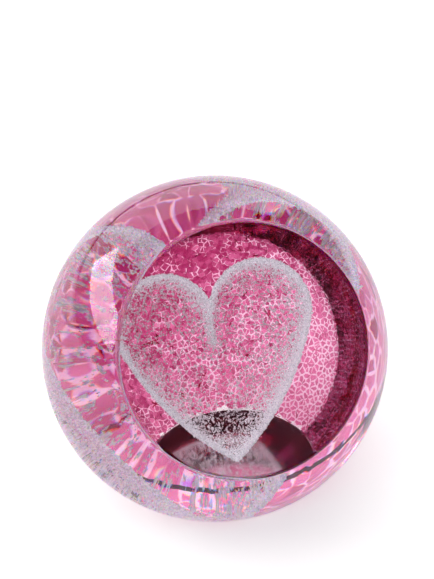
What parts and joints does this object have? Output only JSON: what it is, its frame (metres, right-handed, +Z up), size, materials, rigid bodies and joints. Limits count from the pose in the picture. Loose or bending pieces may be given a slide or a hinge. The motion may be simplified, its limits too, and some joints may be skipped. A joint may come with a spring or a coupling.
{
  "type": "glass paperweight ball",
  "caption": "Clear glass ball with a flat ground base and one large flat facet, a pink frit coat on its back and a puffed heart of pale glass grains inside.",
  "frame": {"origin": "centre of the flat ground base, where the ball rests", "axes": "+Z up, away from the base; the facet faces -Y and upwards; the ball with its base and facet is mirror-symmetric in X"},
  "size_m": [0.075, 0.0747, 0.07],
  "materials": {
    "clear_glass": "polished clear glass",
    "core_glass": "clear glass inside the heart",
    "rim_grains": "dense pale lavender glass grains",
    "back_grains": "scattered pale lavender glass grains",
    "pink_frit": "pink glass frit fused into a mottled coat"
  },
  "bodies": {
    "root": {"clear_casing": "clear_glass", "clear_heart_core": "core_glass", "heart_rim_grains": "rim_grains", "heart_back_grains": "back_grains", "pink_frit_coat": "pink_frit"}
  },
  "joints": []
}
